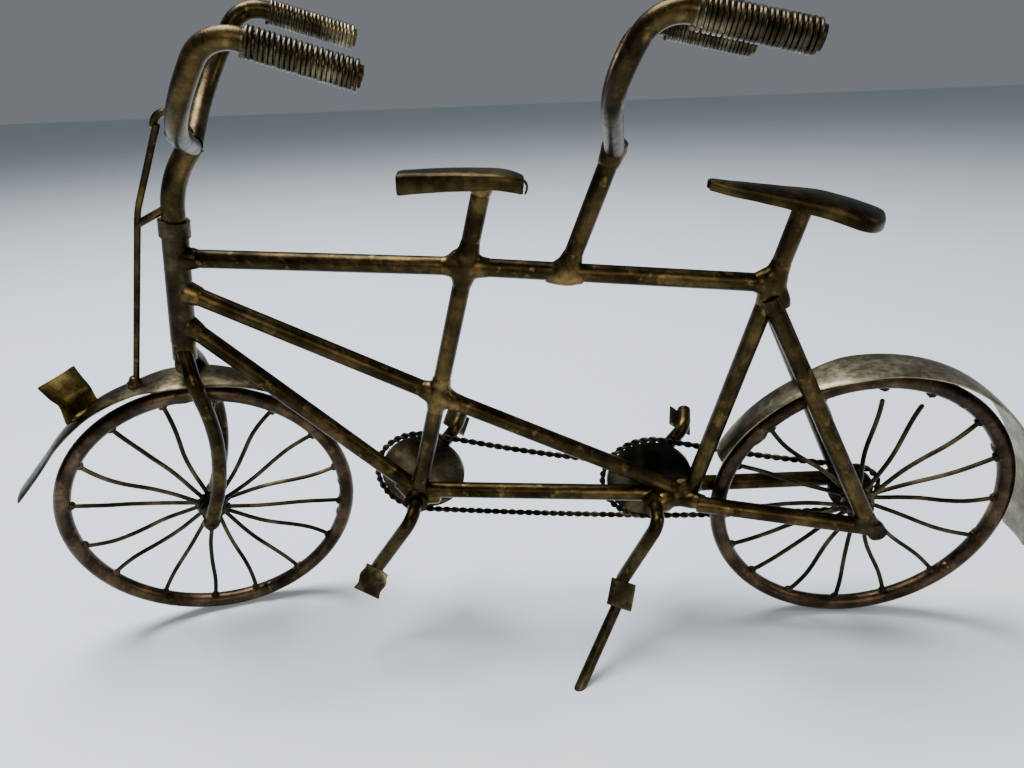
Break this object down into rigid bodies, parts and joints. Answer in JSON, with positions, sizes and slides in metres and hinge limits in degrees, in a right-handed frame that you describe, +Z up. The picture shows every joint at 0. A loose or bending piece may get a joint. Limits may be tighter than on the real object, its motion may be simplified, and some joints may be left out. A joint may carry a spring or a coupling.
{
  "type": "miniature tandem bicycle",
  "caption": "Desk ornament of a tandem bicycle soldered from brass rod, wire and sheet, leaning on a stand rod, with turning wheels, cranks and steering.",
  "frame": {"origin": "centre of the overall box, on the table", "axes": "+X from the front wheel to the rear wheel, +Y to the rider's right, +Z up"},
  "size_m": [0.2142, 0.0568, 0.1347],
  "materials": {
    "brass_rod": "aged, drawn rod",
    "dark_brass": "heavily aged",
    "coppered_rod": "red-brown, heat darkened",
    "blackened_wire": "blackened, near matt",
    "sheet_brass": "brushed sheet with green-grey tarnish"
  },
  "bodies": {
    "frame": {"head_tube": "dark_brass", "head_collar": "brass_rod", "top_tube_front": "brass_rod", "top_tube_rear": "brass_rod", "lateral_tube_front": "brass_rod", "lateral_tube_rear": "brass_rod", "down_tube": "brass_rod", "bottom_tube": "brass_rod", "seat_tube_front": "brass_rod", "seat_post_front": "brass_rod", "seat_tube_rear": "brass_rod", "seat_post_rear": "brass_rod", "bottom_bracket_front": "brass_rod", "bottom_bracket_rear": "brass_rod", "chain_stay_left": "brass_rod", "chain_stay_right": "brass_rod", "seat_stay_left": "brass_rod", "seat_stay_right": "brass_rod", "rear_axle": "dark_brass", "front_saddle": "sheet_brass", "rear_saddle": "sheet_brass", "rear_stem": "brass_rod", "rear_handlebar_left": "brass_rod", "rear_handlebar_right": "brass_rod", "rear_grip_left": "dark_brass", "rear_grip_right": "dark_brass", "rear_mudguard": "sheet_brass", "front_chain": "blackened_wire", "rear_chain": "blackened_wire"},
    "steering": {"steerer": "brass_rod", "stem": "brass_rod", "front_handlebar_left": "brass_rod", "front_handlebar_right": "brass_rod", "front_grip_left": "dark_brass", "front_grip_right": "dark_brass", "fork_crown": "brass_rod", "fork_blade_left": "brass_rod", "fork_blade_right": "brass_rod", "front_axle": "dark_brass", "front_mudguard": "sheet_brass", "brake_rod": "brass_rod", "brake_rod_branch": "brass_rod", "headlamp_plate": "sheet_brass"},
    "front_wheel": {"front_rim": "coppered_rod", "front_hub": "dark_brass", "front_spokes": "dark_brass"},
    "rear_wheel": {"rear_rim": "coppered_rod", "rear_hub": "dark_brass", "rear_spokes": "dark_brass", "rear_sprocket": "blackened_wire"},
    "front_crankset": {"front_crank": "brass_rod", "front_chain_disc": "blackened_wire", "front_pedal_left": "sheet_brass", "front_pedal_right": "sheet_brass"},
    "rear_crankset": {"rear_crank": "brass_rod", "rear_chain_disc": "blackened_wire", "rear_pedal_left": "sheet_brass", "rear_pedal_right": "sheet_brass", "stand_rod": "dark_brass"}
  },
  "joints": [
    {"name": "steering", "type": "hinge", "parent": "frame", "child": "steering", "pos_m": [-0.07617, 0.00516, 0.0312], "axis": [0.1884, -0.0941, 0.9776], "range_deg": [-27, 12]},
    {"name": "front_wheel_spin", "type": "hinge", "parent": "steering", "child": "front_wheel", "pos_m": [-0.07295, 0.00624, 0.03135], "axis": [-0.32, 0.9352, 0.1517], "continuous": true},
    {"name": "rear_wheel_spin", "type": "hinge", "parent": "frame", "child": "rear_wheel", "pos_m": [0.07123, 0.00516, 0.03156], "axis": [-0.0002, 0.9954, 0.0958], "continuous": true},
    {"name": "rear_crank_turn", "type": "hinge", "parent": "frame", "child": "rear_crankset", "pos_m": [0.02702, 0.005, 0.03315], "axis": [-0.0002, 0.9954, 0.0958], "continuous": true},
    {"name": "front_crank_turn", "type": "hinge", "parent": "frame", "child": "front_crankset", "pos_m": [-0.02497, 0.00485, 0.03451], "axis": [-0.0002, 0.9954, 0.0958], "continuous": true}
  ],
  "couplings": [
    {"joint": "front_crank_turn", "follows": "rear_crank_turn", "ratio": 1}
  ]
}
